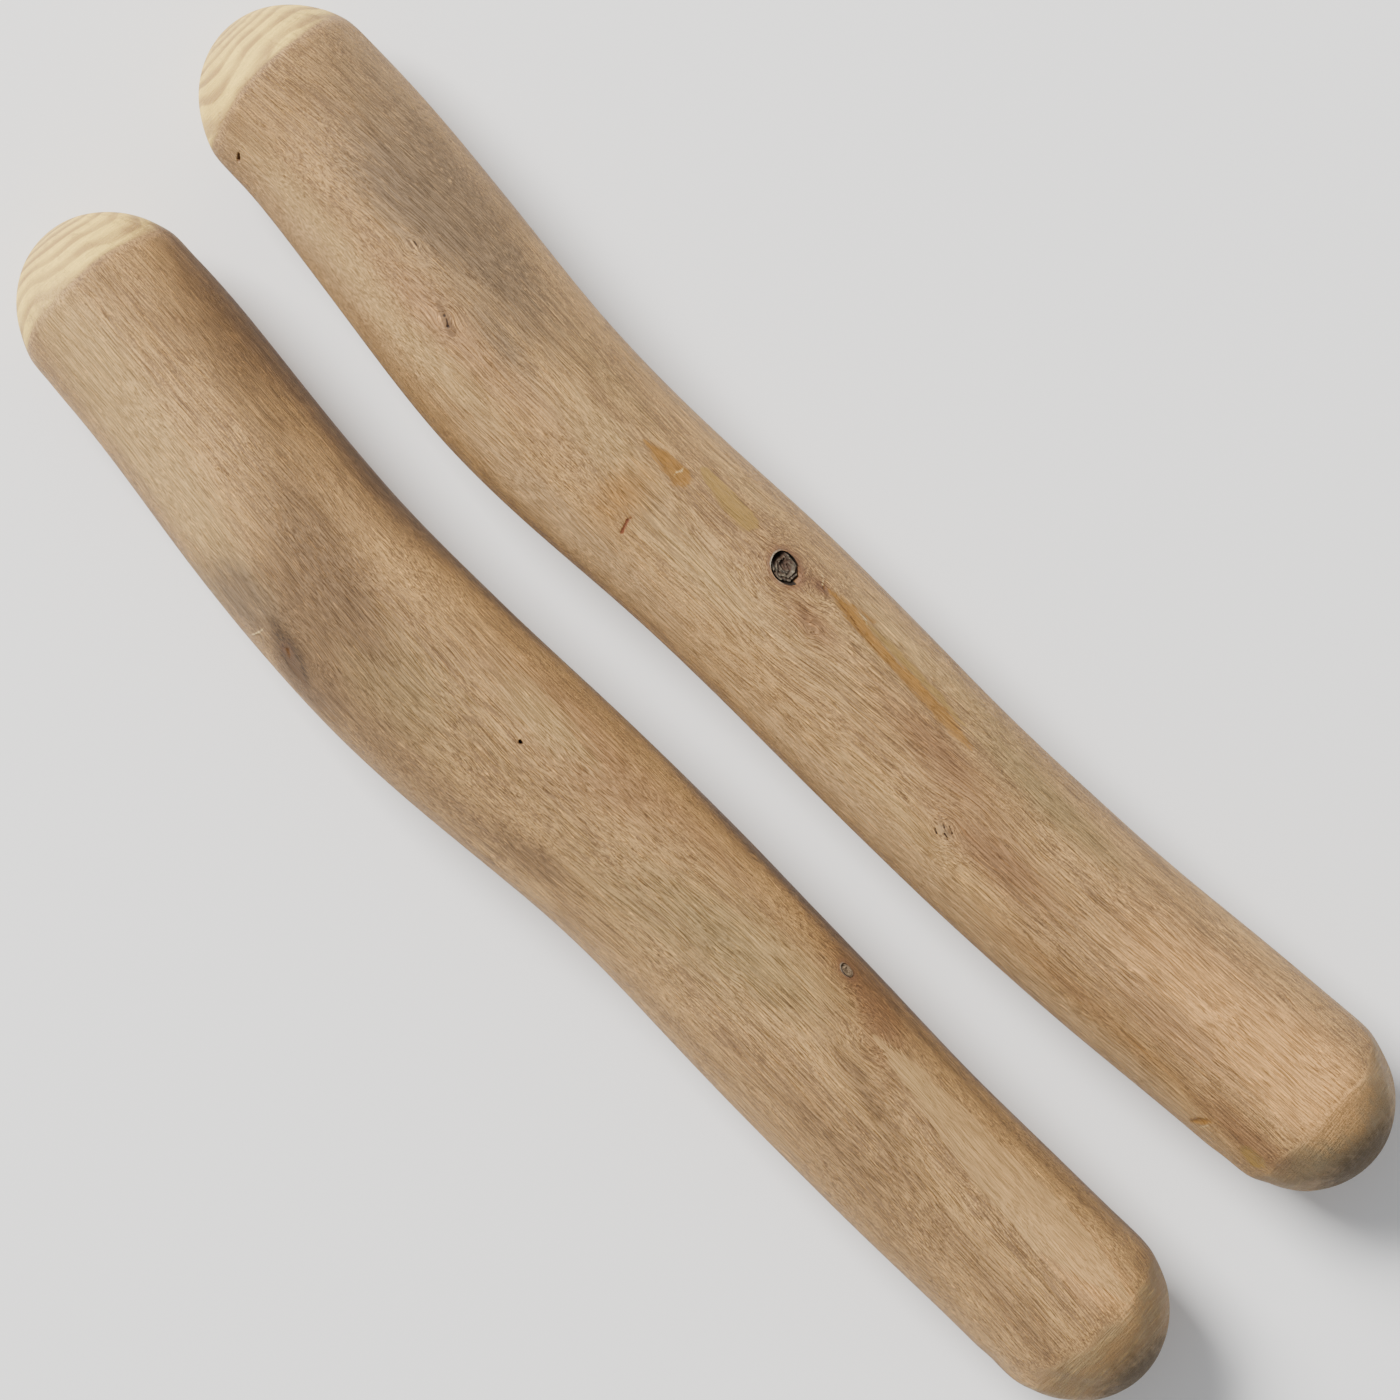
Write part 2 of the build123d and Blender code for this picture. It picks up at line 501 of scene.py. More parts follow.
class Bar:
    """A clave's middle line and oval section, measured on its frame node and kept as smooth curves, in mm."""

    def __init__(self, node, dome_length):
        copy = bmesh.new()
        copy.from_mesh(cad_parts[node].data)
        bmesh.ops.remove_doubles(copy, verts=copy.verts, dist=1e-7)
        self.tree = BVHTree.FromBMesh(copy)
        copy.free()
        low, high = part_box(node)
        self.low, self.high = np.array(low) / MM, np.array(high) / MM
        self.dome = dome_length / MM
        self.start = self.low[0] + self.dome
        self.end = self.high[0] - self.dome
        count = round((self.end - self.start) / STATION_STEP) + 1
        xs = np.linspace(self.start, self.end, count)
        rows = np.array([self.measure(x) for x in xs])
        fit = np.polynomial.Chebyshev.fit
        self.curves = [fit(xs, column, CURVE_DEGREE) for column in rows.T]

    def hit(self, origin, way):
        """Where a ray from a point in mm meets the clave."""
        place = self.tree.ray_cast(Vector(origin) * MM, Vector(way))[0]
        if place is None:
            raise RuntimeError(f"no wood at {origin}")
        return place / MM

    def measure(self, x):
        """Middle y and z, half width and half height of the section at x."""
        far = FAR / MM
        level = self.high[2] / 2
        y_high = self.hit((x, far, level), (0, -1, 0)).y
        y_low = self.hit((x, -far, level), (0, 1, 0)).y
        middle = (y_high + y_low) / 2
        z_high = self.hit((x, middle, far), (0, 0, -1)).z
        z_low = self.hit((x, middle, -far), (0, 0, 1)).z
        return middle, (z_high + z_low) / 2, (y_high - y_low) / 2, (z_high - z_low) / 2

    def on_top(self, x, y):
        """The place on the upper side of the bar at x, y, with any knot hole filled."""
        inside = min(max(x, self.start), self.end)
        y_middle, z_middle, half_wide, half_high = (float(curve(inside)) for curve in self.curves)
        rise = math.sqrt(max(0.0, 1 - ((y - y_middle) / half_wide) ** 2))
        return np.array([x, y, z_middle + half_high * rise])

    def normal(self, x, y):
        """The outward direction of the bar's surface on top at x, y."""
        step = 0.5
        along = self.on_top(x + step, y) - self.on_top(x - step, y)
        across = self.on_top(x, y + step) - self.on_top(x, y - step)
        up = np.cross(along, across)
        return up / np.linalg.norm(up)

    def at(self, x):
        """Middle points and unit directions of the bar at an array of x, run on straight into the domes."""
        inside = np.clip(x, self.start, self.end)
        slopes = [curve.deriv()(inside) for curve in self.curves[:2]]
        lines = [curve(inside) + slope * (x - inside) for curve, slope in zip(self.curves[:2], slopes)]
        middle = np.stack([x, *lines], axis=1)
        way = np.stack([np.ones_like(x), *slopes], axis=1)
        return middle, way / np.linalg.norm(way, axis=1, keepdims=True)

    def halves(self, x):
        """Half width and half height of the section at an array of x, square to the bar."""
        inside = np.clip(x, self.start, self.end)
        way = self.at(inside)[1]
        return self.curves[2](inside) * way[:, 0], self.curves[3](inside)


# Smooth fields over the wood


def wander(points, size, seed):
    """A smooth wandering value from -1 to 1 at each point, over a size in mm along each axis."""
    scaled = points / np.array(size) + seed
    return np.array([noise.noise(Vector(p)) for p in scaled])


def soft_min(a, b, softness):
    """The lesser of two arrays, rounded where they cross."""
    share = np.clip(0.5 + 0.5 * (b - a) / softness, 0, 1)
    return b + (a - b) * share - softness * share * (1 - share)


def smooth_step(value, low, high):
    share = np.clip((value - low) / (high - low), 0, 1)
    return share * share * (3 - 2 * share)


def blob(points, middle, half_long, half_wide, turn):
    """A soft-edged oval mark: 1 at its middle, 0 outside."""
    rel = points - middle
    c, s = math.cos(math.radians(turn)), math.sin(math.radians(turn))
    along = (rel[:, 0] * c + rel[:, 1] * s) / half_long
    across = np.hypot(rel[:, 1] * c - rel[:, 0] * s, rel[:, 2]) / half_wide
    return np.exp(-(along**2) - across**2)


def stroke_depth(points, bar, path):
    """How far in mm each point lies inside a stroke along a path of x, y and half width, or less than 0."""
    deepest = np.full(len(points), -FAR / MM)
    line = [(bar.on_top(x, y), width) for x, y, width in path]
    for (a, width_a), (b, width_b) in zip(line[:-1], line[1:]):
        run = b - a
        share = np.clip((points - a) @ run / (run @ run), 0, 1)
        away = np.linalg.norm(points - a - share[:, None] * run, axis=1)
        deepest = np.maximum(deepest, width_a + (width_b - width_a) * share - away)
    return deepest


def fibre_guide(stops, x):
    """How far a fibre has strayed from X at each x, and its slope there, from the fibres' directions."""
    fine = np.linspace(stops[0][0], stops[-1][0], FIBRE_STEPS)
    slope = np.tan(np.radians(np.interp(fine, [s[0] for s in stops], [s[1] for s in stops])))
    steps = np.diff(fine) * (slope[1:] + slope[:-1]) / 2
    return np.interp(x, fine, np.concatenate([[0], np.cumsum(steps)])), np.interp(x, fine, slope)


# The encased twigs


class Twig:
    """Where an encased twig lies: its place on the wood, its axis and its sizes, in mm."""

    def __init__(self, bar, sizes):
        self.size = sizes
        self.spot = bar.on_top(sizes["x"], sizes["y"])
        self.normal = bar.normal(sizes["x"], sizes["y"])
        lengthwise = np.array([1.0, 0, 0]) - self.normal * self.normal[0]
        lengthwise /= np.linalg.norm(lengthwise)
        sideways = np.cross(self.normal, lengthwise)
        turn, lean = math.radians(sizes["turn"]), math.radians(sizes["lean"])
        self.heading = lengthwise * math.cos(turn) + sideways * math.sin(turn)
        self.out = self.normal * math.cos(lean) + self.heading * math.sin(lean)
        self.length = sizes["depth"] / math.cos(lean)
        self.side = np.cross(self.out, self.normal)
        self.side /= np.linalg.norm(self.side)
        self.over = np.cross(self.side, self.out)

    def across(self, places):
        """The two distances from the twig's axis, and the distance along it, at each place."""
        rel = places - self.spot
        return rel @ self.side, rel @ self.over, rel @ self.out

    def mouth(self):
        return self.size["radius"] + self.size["gap"]

    def drill(self, places):
        """Sinks the places inside the twig's outline to make its hole, with a sharp rim."""
        u, v, w = self.across(places)
        around = np.arctan2(v, u)
        warp = 1 + HOLE_WARP * np.sin(2 * around + 0.6) + HOLE_WARP * np.sin(3 * around + 2.0)
        off = np.hypot(u, v) / warp
        mouth, foot = self.mouth(), self.size["foot"] + self.size["gap"]
        near = (np.abs(w) < HOLE_REACH * mouth) & (off < HOLE_SPREAD * mouth)
        snap = near & (np.abs(off - mouth) < RIM_SNAP)
        off = np.where(off < 1e-6, 1e-6, off)
        along_u, along_v = np.cos(around), np.sin(around)
        new_off, sink = off.copy(), np.zeros(len(off))
        new_off[snap] = mouth
        inner = near & ~snap & (off < mouth)
        wall = HOLE_WALL * mouth
        depth = self.length + 0.1
        down = np.clip((mouth - off) / (mouth - wall), 0, 1)
        wall_off = mouth + (foot - mouth) * down
        floor_off = foot * off / wall
        new_off[inner] = np.where(off > wall, wall_off, floor_off)[inner]
        target = np.where(off > wall, w * (1 - down) - depth * down, -depth)
        sink[inner] = (w - target)[inner]
        spoke = along_u[:, None] * self.side + along_v[:, None] * self.over
        return places + ((new_off - off) * warp)[:, None] * spoke - sink[:, None] * self.out


def build_twig(name, body, node, bar, sizes, seed):
    """The dead twig itself: a tapered plug whose rough end lies just under the wood's surface."""
    twig = Twig(bar, sizes)
    mesh = bmesh.new()
    bmesh.ops.create_cone(
        mesh,
        cap_ends=True,
        segments=TWIG_SIDES,
        radius1=sizes["foot"],
        radius2=sizes["radius"],
        depth=twig.length,
    )
    top = max(mesh.faces, key=lambda face: face.calc_center_median().z)
    for _ in range(TWIG_RINGS):
        bmesh.ops.inset_region(mesh, faces=[top], thickness=sizes["radius"] * TWIG_RINGS_SPAN / TWIG_RINGS)
    bmesh.ops.poke(mesh, faces=[top])
    co = np.array([v.co[:] for v in mesh.verts])
    on_face = co[:, 2] > 0
    off = np.hypot(co[:, 0], co[:, 1])
    around = np.arctan2(co[:, 1], co[:, 0])
    rim = off / sizes["radius"]
    flat = np.stack([co[:, 0], co[:, 1], np.zeros(len(co))], axis=1) / sizes["radius"]
    swirl = wander(flat, (0.7, 0.7, 0.7), seed)
    grit = wander(flat, (0.16, 0.16, 0.16), seed + 5)
    fold = wander(flat, (0.33, 0.33, 0.33), seed + 11)
    ring = np.cos((rim * 3.2 + 1.1 * swirl) * 2 * math.pi)
    hollow = np.exp(-((flat[:, 0] + 0.15) ** 2 + (flat[:, 1] - 0.15) ** 2) / 0.12)
    relief = sizes["rough"] * (0.45 * ring + 1.2 * fold + 0.8 * grit - 2.4 * hollow)
    relief -= sizes["rough"] * 1.5 * smooth_step(rim, 0.94, 1.0)
    crescent = np.clip(np.cos(around - math.radians(CRESCENT)), 0, 1) ** 7
    relief -= sizes["rough"] * 9.0 * smooth_step(rim, 0.56, 0.66) * crescent
    wobble = 1 + 0.05 * np.clip(wander(flat, (0.9, 0.9, 0.9), seed + 3), -1, 0)
    co[:, :2] *= PLUG_FILL
    base = twig.spot + co[:, :1] * wobble[:, None] * twig.side + co[:, 1:2] * wobble[:, None] * twig.over
    level = -sizes["sunk"] + np.minimum(relief, sizes["sunk"] * 0.8)
    rise = (level - (base - twig.spot) @ twig.normal) / (twig.out @ twig.normal)
    foot_rise = np.full(len(co), -twig.length + 0.02)
    places = base + np.where(on_face, rise, foot_rise)[:, None] * twig.out
    data = bpy.data.meshes.new(name)
    mesh.to_mesh(data)
    mesh.free()
    set_places(data, places)
    keep(data, "twig", np.stack([flat[:, 0], flat[:, 1], np.where(on_face, 0.0, -4.0)], axis=1))
    keep(data, "rim", rim)
    keep(data, "relief", relief / sizes["rough"])
    turned = bmesh.new()
    turned.from_mesh(data)
    bmesh.ops.recalc_face_normals(turned, faces=turned.faces)
    turned.to_mesh(data)
    turned.free()
    return finish_piece(data, name, twig_material(name + "_twig", sizes), body, node)


# Meshes


def tube_places(ball, bar, shape):
    """Carries the points of a unit ball, whose poles are on Z, to the surface of a clave, in mm."""
    dome, radius = bar.dome, shape.dome_radius / MM
    polar = np.arccos(np.clip(-ball[:, 2], -1, 1)) / math.pi
    around = np.arctan2(ball[:, 1], ball[:, 0])
    quarter = math.pi / 4 * (dome + radius)
    straight = bar.end - bar.start
    run = polar * (straight + 2 * quarter)
    from_left = np.clip(run / quarter, 0, 1) * math.pi / 2
    from_right = np.clip((straight + 2 * quarter - run) / quarter, 0, 1) * math.pi / 2
    x_axis = bar.start + np.clip(run - quarter, 0, straight)
    way_left = bar.at(np.array([bar.start]))[1]
    way_right = bar.at(np.array([bar.end]))[1]
    middle, way = bar.at(x_axis)
    middle = middle - way_left * dome * np.cos(from_left)[:, None]
    middle = middle + way_right * dome * np.cos(from_right)[:, None]
    side = np.stack([-way[:, 1], way[:, 0], np.zeros(len(way))], axis=1)
    side /= np.linalg.norm(side, axis=1, keepdims=True)
    up = np.cross(way, side)
    half_wide, half_high = bar.halves(x_axis)
    flat = 1 / np.hypot(np.cos(around) / half_wide, np.sin(around) / half_high)
    in_left, in_right = x_axis - bar.start, bar.end - x_axis
    dome_left = radius * np.sin(from_left) + SWELL * in_left**2
    dome_right = radius * np.sin(from_right) + SWELL * in_right**2
    side_on = side * np.cos(around)[:, None] + up * np.sin(around)[:, None]
    rasped = wander(side_on * half_wide[:, None] + middle, (7, 5, 5), bar.high[1])
    rasped = np.clip(0.4 + rasped, 0, 1)
    dome_left -= 0.25 * shape.rasp / MM * rasped * np.sin(from_left)
    dome_right -= shape.rasp / MM * rasped * np.sin(from_right)
    reach = soft_min(flat, dome_left, shape.left_shoulder / MM)
    reach = soft_min(reach, dome_right, shape.right_shoulder / MM)
    tip = np.minimum(np.sin(from_left), np.sin(from_right))
    flats = wander(middle * [1, 0, 0] + side_on * 9, (26, 6, 6), bar.low[1])
    hollow = shape.unevenness / MM * (0.5 + 0.9 * flats)
    reach -= np.clip(hollow, 0, None) * tip
    places = middle + side_on * reach[:, None]
    places[:, 2] = np.maximum(places[:, 2], bar.low[2])
    return places


def refine(ball_mesh, bar, shape, marks, twigs):
    """Halves the ball's faces wherever the clave has a fine mark, once for each reach."""
    holes = []
    for twig in twigs:
        x, y, width = twig.size["x"], twig.size["y"], 1.25 * twig.mouth()
        holes.append([(x - 0.3, y, width), (x + 0.3, y, width)])
    everything = holes + [path for _, _, path in marks]
    for reach, paths in zip(REFINE_REACHES, (everything, everything, holes)):
        ball_mesh.faces.ensure_lookup_table()
        centres = np.array([f.calc_center_median().normalized() for f in ball_mesh.faces])
        places = tube_places(centres, bar, shape)
        near = np.zeros(len(places), bool)
        for path in paths:
            near |= stroke_depth(places, bar, path) > -reach
        chosen = {e for f, wanted in zip(ball_mesh.faces, near) if wanted for e in f.edges}
        bmesh.ops.subdivide_edges(ball_mesh, edges=list(chosen), cuts=1, use_grid_fill=True)


def stick_mesh(name, bar, shape, marks, twigs):
    """The bare shape of a clave, with finer faces near its marks."""
    ball = bmesh.new()
    bmesh.ops.create_uvsphere(ball, u_segments=shape.sides, v_segments=shape.rings, radius=1.0)
    refine(ball, bar, shape, marks, twigs)
    mesh = bpy.data.meshes.new(name)
    ball.to_mesh(mesh)
    ball.free()
    co = np.empty(len(mesh.vertices) * 3)
    mesh.vertices.foreach_get("co", co)
    co = co.reshape(-1, 3)
    co /= np.linalg.norm(co, axis=1, keepdims=True)
    run = np.arccos(np.clip(-co[:, 2], -1, 1)) / math.pi * (bar.high[0] - bar.low[0])
    return mesh, tube_places(co, bar, shape), run


def set_places(mesh, places):
    mesh.vertices.foreach_set("co", (places * MM).ravel())
    mesh.update()


def normals_of(mesh):
    values = np.empty(len(mesh.vertices) * 3)
    mesh.vertex_normals.foreach_get("vector", values)
    return values.reshape(-1, 3)


def keep(mesh, name, values):
    """Stores a value or a vector at every vertex, for the materials to read."""
    values = np.asarray(values, dtype=np.float32)
    kind, field = ("FLOAT", "value") if values.ndim == 1 else ("FLOAT_VECTOR", "vector")
    mesh.attributes.new(name, kind, "POINT").data.foreach_set(field, values.ravel())


def finish_piece(mesh, name, material, body, node):
    """Shows a mesh as a piece that stands for a frame node and moves with its body."""
    if mesh.validate():
        raise RuntimeError(f"{name} had broken faces")
    mesh.shade_smooth()
    mesh.set_sharp_from_angle(angle=SHARP)
    mesh.materials.append(material)
    piece = bpy.data.objects.new(name, mesh)
    bpy.context.scene.collection.objects.link(piece)
    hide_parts(node)
    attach(piece, body)
    return piece


def build_clave(name, body, node, shape, look, fibre, knots, zones, marks, twig_sizes, seed):
    """One clave's wood: its shape, its knot hole and marks, and the fields that its material reads."""
    bar = Bar(node, shape.dome_length)
    twig = Twig(bar, twig_sizes)
    mesh, places, run = stick_mesh(name, bar, shape, marks, [twig])
    set_places(mesh, places)
    outward = normals_of(mesh)
    cut = np.zeros(len(places))
    ragged = wander(places, (1.6, 0.35, 0.35), seed + 31)
    ragged += 0.5 * wander(places, (0.5, 0.2, 0.2), seed + 37)
    fields = {kind: np.full(len(places), -1.0) for kind in MARK_TONES}
    for kind, depth, path in marks:
        width = max(point[2] for point in path)
        inside = stroke_depth(places, bar, path) + ragged * min(0.15 * width, 0.2)
        fields[kind] = np.maximum(fields[kind], np.clip(inside, -1, 1))
        cut += depth * smooth_step(inside, -0.02, 0.5 * width)
    for kind, values in fields.items():
        keep(mesh, "mark_" + kind, values)
    tints = {kind: np.zeros(len(places)) for kind in ZONE_TONES}
    for kind, x, y, half_long, half_wide, turn, strength in zones:
        tints[kind] += strength * blob(places, bar.on_top(x, y), half_long, half_wide, turn)
    for kind, values in tints.items():
        keep(mesh, "zone_" + kind, values)
    middle, way = bar.at(places[:, 0])
    guide, slope = fibre_guide(fibre, places[:, 0])
    grain = np.stack([places[:, 0], places[:, 1] - guide, places[:, 2]], axis=1)
    rel = places - middle
    ring = np.linalg.norm(rel - (rel * way).sum(axis=1, keepdims=True) * way, axis=1)
    ring += 1.6 * wander(places, (55, 16, 16), seed) + 0.7 * wander(places, (16, 6, 6), seed + 9)
    for x, y, radius, lift in knots:
        off = places - bar.on_top(x, y)
        distance = np.linalg.norm(off, axis=1)
        push = radius**2 / (distance**2 + radius**2 * 0.5)
        grain[:, 1] -= off[:, 1] * np.clip(push, 0, 0.95)
        ring -= lift * np.exp(-((distance / (2.2 * radius)) ** 2))
    sway = 0.5 * wander(places, (14, 5, 5), seed + 41) + 0.15 * wander(places, (4, 1.6, 1.6), seed + 43)
    grain[:, 1] += sway
    grain[:, 2] += 0.5 * wander(places, (14, 5, 5), seed + 47)
    keep(mesh, "grain", grain)
    keep(mesh, "stroke", np.stack([run, places[:, 1], places[:, 2]], axis=1))
    keep(mesh, "ring", ring)
    fibres = np.stack([np.ones(len(places)), slope, np.zeros(len(places))], axis=1)
    fibres /= np.linalg.norm(fibres, axis=1, keepdims=True)
    keep(mesh, "end", np.abs((outward * fibres).sum(axis=1)))
    # 1 on the left half, whose ends face the lamp and take the pale end grain; the right ends take the dull
    # end grain, which is partly painted shade.
    keep(mesh, "fresh_and_lit", (places[:, 0] < 0).astype(float))
    keep(mesh, "open", smooth_step(places[:, 0], -120, 40))
    u, v, w = twig.across(places)
    rim = np.hypot(u, v) - twig.mouth()
    keep(mesh, "bark", np.where(np.abs(w) < HOLE_REACH * twig.mouth(), rim, 9.0))
    keep(mesh, "lip", np.clip(np.cos(np.arctan2(v, u) - math.radians(LIP)), 0, 1))
    set_places(mesh, twig.drill(places - outward * cut[:, None]))
    wood = wood_material(name + "_wood", look, seed, twig_sizes["bark"])
    return finish_piece(mesh, name, wood, body, node)


# Materials


class Desk:
    """Short ways to lay out a material's nodes."""

    def __init__(self, name):
        self.material = bpy.data.materials.new(name)
        self.material.use_nodes = True
        self.tree = self.material.node_tree
        self.shader = self.tree.nodes["Principled BSDF"]

    def put(self, socket, value):
        if isinstance(value, bpy.types.NodeSocket):
            self.tree.links.new(value, socket)
        else:
            socket.default_value = value

    def attribute(self, name, vector=False):
        node = self.tree.nodes.new("ShaderNodeAttribute")
        node.attribute_name = name
        return node.outputs["Vector" if vector else "Fac"]

    def stretch(self, vector, scale, shift=(0, 0, 0)):
        node = self.tree.nodes.new("ShaderNodeMapping")
        self.put(node.inputs["Vector"], vector)
        node.inputs["Scale"].default_value = scale
        node.inputs["Location"].default_value = shift
        return node.outputs["Vector"]

    def noise(self, vector, detail=2.0, rough=0.5, distortion=0.0):
        node = self.tree.nodes.new("ShaderNodeTexNoise")
        self.put(node.inputs["Vector"], vector)
        node.inputs["Scale"].default_value = 1.0
        node.inputs["Detail"].default_value = detail
        node.inputs["Roughness"].default_value = rough
        node.inputs["Distortion"].default_value = distortion
        return node.outputs["Fac"]

    def math(self, operation, a, b=0.0):
        node = self.tree.nodes.new("ShaderNodeMath")
        node.operation = operation
        self.put(node.inputs[0], a)
        self.put(node.inputs[1], b)
        return node.outputs[0]

    def about(self, value, share):
        """A noise's swing about its middle, times a share."""
        return self.math("MULTIPLY", self.math("SUBTRACT", value, 0.5), share)

    def total(self, first, *rest):
        for value in rest:
            first = self.math("ADD", first, value)
        return first

    def span(self, value, low, high, to_low=0.0, to_high=1.0):
        """Maps low..high to to_low..to_high, smoothly and within those limits."""
        node = self.tree.nodes.new("ShaderNodeMapRange")
        node.interpolation_type = "SMOOTHSTEP"
        self.put(node.inputs["Value"], value)
        self.put(node.inputs["From Min"], low)
        self.put(node.inputs["From Max"], high)
        self.put(node.inputs["To Min"], to_low)
        self.put(node.inputs["To Max"], to_high)
        return node.outputs["Result"]

    def mix(self, share, a, b, blend="MIX"):
        node = self.tree.nodes.new("ShaderNodeMix")
        node.data_type = "RGBA"
        node.blend_type = blend
        self.put(node.inputs["Factor"], share)
        colours = [socket for socket in node.inputs if socket.type == "RGBA"]
        for socket, value in zip(colours, (a, b)):
            self.put(socket, value if isinstance(value, bpy.types.NodeSocket) else (*value, 1.0))
        return next(socket for socket in node.outputs if socket.type == "RGBA")

    def bump(self, height, distance):
        node = self.tree.nodes.new("ShaderNodeBump")
        self.put(node.inputs["Height"], height)
        node.inputs["Distance"].default_value = distance
        return node.outputs["Normal"]


ZONE_TONES = {
    "blush": (0.37, 0.205, 0.090),
    "pink": (0.235, 0.122, 0.056),
    "olive": (0.29, 0.195, 0.083),
    "moss": (0.215, 0.165, 0.090),
    "brown": (0.185, 0.110, 0.054),
    "pale": (0.51, 0.325, 0.132),
    "rosy": (0.68, 0.365, 0.128),
    # the right tips: partly darker end grain, partly painted shade
    "dark_end_and_shade": (0.080, 0.052, 0.020),
    "ash": (0.53, 0.340, 0.165),
    "grey": (0.185, 0.125, 0.073),
    # painted shade for the striker's edge that faces the held clave
    "edge_shade": (0.165, 0.105, 0.064),
    "scar": (0.092, 0.056, 0.029),
    "orange": (0.36, 0.185, 0.056),
    "rust": (0.135, 0.066, 0.037),
    "tan": (0.42, 0.26, 0.115),
}
# Noise in the wood: changes per mm along the grain and across it, shift, detail, roughness and distortion.
GRAIN_PATTERNS = {
    "broad": (0.014, 0.13, 0, 3.0, 0.55, 0.0),
    "band": (0.010, 0.26, 1, 1.0, 0.4, 0.2),
    "streak": (0.030, 0.80, 3, 3.0, 0.6, 0.3),
    "fibre": (0.075, 5.2, 5, 2.0, 0.6, 0.12),
    "line": (0.11, 8.8, 9, 1.0, 0.5, 0.12),
    "dash": (0.15, 7.8, 7, 1.0, 0.5, 0.2),
    "fleck": (0.32, 8.0, 11, 1.0, 0.5, 0.2),
    "speck": (3.0, 5.6, 13, 1.0, 0.6, 0.0),
    "patch": (0.16, 0.16, 17, 2.0, 0.5, 0.0),
}
ZONE_SHADE = 0.56  # how dark the deep fibres of a coloured zone are, next to its paint
ZONE_SHINE = 1.08  # and how light its pale fibres are
PORE_SHADE = (0.48, 0.43, 0.42)
# How much lighter the pale flecks are: partly paler fibres, partly painted highlight on the lit edges of the
# pores.
FLECK_AND_HIGHLIGHT = (1.66, 1.58, 1.38)
KNOT_RING = (0.17, 0.085, 0.045)
BARE_LIP = (0.30, 0.255, 0.19)
# The twig's sunken middle, partly its dark heart and partly painted shade, and its deepest cracks and gap,
# painted shade.
HOLLOW_DARK_AND_SHADE = (0.042, 0.019, 0.008)
HOLLOW_FLOOR_SHADE = (0.010, 0.006, 0.004)
MARK_TONES = {
    "sapwood": (0.42, 0.256, 0.102),
    "brown": (0.12, 0.068, 0.034),
    "resin": (0.25, 0.150, 0.042),
    "gum": (0.235, 0.115, 0.026),
    "umber": (0.11, 0.050, 0.016),
    "rust": (0.17, 0.055, 0.022),
    "torn": (0.72, 0.50, 0.22),
    "dark": (0.030, 0.015, 0.008),
}


